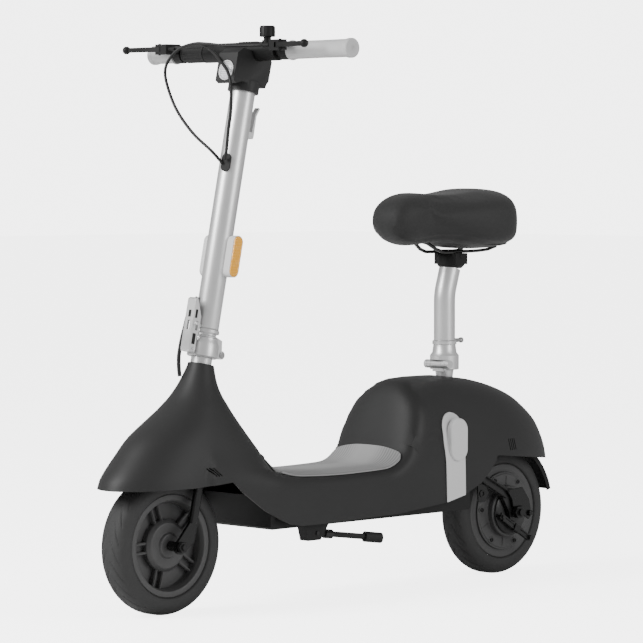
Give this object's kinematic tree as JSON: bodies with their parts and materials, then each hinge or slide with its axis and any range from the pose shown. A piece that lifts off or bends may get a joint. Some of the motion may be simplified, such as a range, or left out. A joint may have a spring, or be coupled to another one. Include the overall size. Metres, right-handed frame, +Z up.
{
  "type": "seated electric scooter",
  "caption": "Seated electric scooter: moulded step-through body on a welded frame, folding stem with bar and headlight, folding seat post, spoked front wheel, hub motor rear wheel.",
  "frame": {"origin": "middle of the bounding box at floor level, on the ground under the two tyres", "axes": "+Z up; the scooter faces -Y, the rider's left is +X"},
  "size_m": [0.5612, 1.1616, 1.0724],
  "materials": {
    "frame_steel": "satin black paint",
    "black_plastic": "fine matt moulding grain",
    "body_plastic": "satin dark grey moulding",
    "silver_paint": "silver powder coat",
    "casting": "bare light alloy casting",
    "zinc": "bright plated",
    "cable_rubber": "smooth black sheath",
    "tyre_rubber": "black rubber",
    "grip_rubber": "light grey textured rubber",
    "mat_rubber": "ribbed grey rubber",
    "trim_plastic": "light grey moulding",
    "wheel_paint": "dark satin paint",
    "amber_lens": "ribbed amber reflector",
    "clear_lens": "clear lens",
    "dark_glass": "glossy dark window",
    "red_lens": "red lens",
    "leather": "soft black synthetic leather"
  },
  "bodies": {
    "base": {"body_shell": "body_plastic", "floor_mat": "mat_rubber", "side_trim_left": "trim_plastic", "side_trim_right": "trim_plastic", "tail_light": "red_lens", "belly_pan": "black_plastic", "main_frame": "frame_steel", "battery_pack": "black_plastic", "controller_box": "casting", "rear_mudguard": "black_plastic", "seat_hinge_base": "silver_paint", "rear_axle": "zinc", "rear_brake_plate": "frame_steel", "headset_upper": "silver_paint"},
    "steering": {"front_fork": "frame_steel", "fold_base": "silver_paint", "fold_pin": "zinc", "front_axle": "zinc", "harness_cable": "cable_rubber"},
    "front_wheel": {"front_tyre": "tyre_rubber", "front_rim": "wheel_paint"},
    "rear_wheel": {"rear_tyre": "tyre_rubber", "rear_motor": "wheel_paint", "rear_cover_left": "wheel_paint"},
    "stem": {"stem_tube": "silver_paint", "fold_collar": "silver_paint", "cable_grommet": "cable_rubber", "reflector_frame_left": "trim_plastic", "reflector_frame_right": "trim_plastic", "reflector_lens_left": "amber_lens", "reflector_lens_right": "amber_lens", "stem_hook": "black_plastic", "head_housing": "black_plastic", "headlight_bezel": "silver_paint", "headlight_lens": "clear_lens", "handlebar": "frame_steel", "bar_cover": "black_plastic", "display_glass": "dark_glass", "grip_left": "grip_rubber", "grip_right": "grip_rubber", "lever_perch_left": "black_plastic", "lever_perch_right": "black_plastic", "brake_cable_left": "cable_rubber", "brake_cable_right": "cable_rubber"},
    "latch": {"latch_lever": "silver_paint"},
    "brake_lever_l": {"brake_lever_left": "black_plastic"},
    "brake_lever_r": {"brake_lever_right": "black_plastic"},
    "throttle": {"throttle_sleeve": "cable_rubber"},
    "bell": {"bell_cap": "black_plastic"},
    "rear_brake": {"rear_brake_arm": "frame_steel"},
    "seat": {"seat_pin": "zinc", "seat_cup": "silver_paint", "seat_post": "silver_paint", "seat_peg": "silver_paint", "seat_clamp": "black_plastic", "saddle_rails": "frame_steel", "saddle_pan": "black_plastic", "saddle_cushion": "leather"},
    "stand": {"kickstand_leg": "frame_steel", "kickstand_foot": "cable_rubber"}
  },
  "joints": [
    {"name": "steering_turn", "type": "hinge", "parent": "base", "child": "steering", "pos_m": [0.01265, -0.41772, 0.127], "axis": [0, 0.2096, 0.9778], "range_deg": [-38, 38]},
    {"name": "front_wheel_roll", "type": "hinge", "parent": "steering", "child": "front_wheel", "pos_m": [0.01265, -0.44742, 0.127], "axis": [1, 0, 0], "continuous": true},
    {"name": "rear_wheel_roll", "type": "hinge", "parent": "base", "child": "rear_wheel", "pos_m": [0.01265, 0.44658, 0.127], "axis": [1, 0, 0], "continuous": true},
    {"name": "stem_fold", "type": "hinge", "parent": "steering", "child": "stem", "pos_m": [0.01265, -0.30712, 0.4664], "axis": [-1, 0, 0], "range_deg": [0, 42]},
    {"name": "latch_open", "type": "hinge", "parent": "steering", "child": "latch", "pos_m": [0.01265, -0.37852, 0.4817], "axis": [1, 0, 0], "range_deg": [0, 90]},
    {"name": "brake_left_pull", "type": "hinge", "parent": "stem", "child": "brake_lever_l", "pos_m": [0.13165, -0.26062, 1.0345], "axis": [0, 0, 1], "range_deg": [0, 22], "stiffness_Nm_per_rad": 2, "springref_deg": -5.73},
    {"name": "brake_right_pull", "type": "hinge", "parent": "stem", "child": "brake_lever_r", "pos_m": [-0.19535, -0.26062, 1.0345], "axis": [0, 0, -1], "range_deg": [0, 22], "stiffness_Nm_per_rad": 2, "springref_deg": -5.73},
    {"name": "throttle_twist", "type": "hinge", "parent": "stem", "child": "throttle", "pos_m": [-0.13235, -0.22264, 1.0255], "axis": [1, 0, 0], "range_deg": [0, 60], "stiffness_Nm_per_rad": 0.4, "springref_deg": -8.59},
    {"name": "bell_turn", "type": "hinge", "parent": "stem", "child": "bell", "pos_m": [0.05865, -0.22264, 1.06], "axis": [0, 0, 1], "range_deg": [0, 45], "stiffness_Nm_per_rad": 0.06, "springref_deg": -5.73},
    {"name": "rear_brake_pull", "type": "hinge", "parent": "base", "child": "rear_brake", "pos_m": [0.07665, 0.40458, 0.12], "axis": [-1, 0, 0], "range_deg": [0, 12], "stiffness_Nm_per_rad": 6, "springref_deg": -5.73},
    {"name": "seat_fold", "type": "hinge", "parent": "base", "child": "seat", "pos_m": [0.01265, 0.28728, 0.426], "axis": [-1, 0, 0], "range_deg": [-75, 0]},
    {"name": "kickstand_swing", "type": "hinge", "parent": "base", "child": "stand", "pos_m": [0.09065, -0.13542, 0.131], "axis": [-1, 0, 0], "range_deg": [0, 48]}
  ]
}
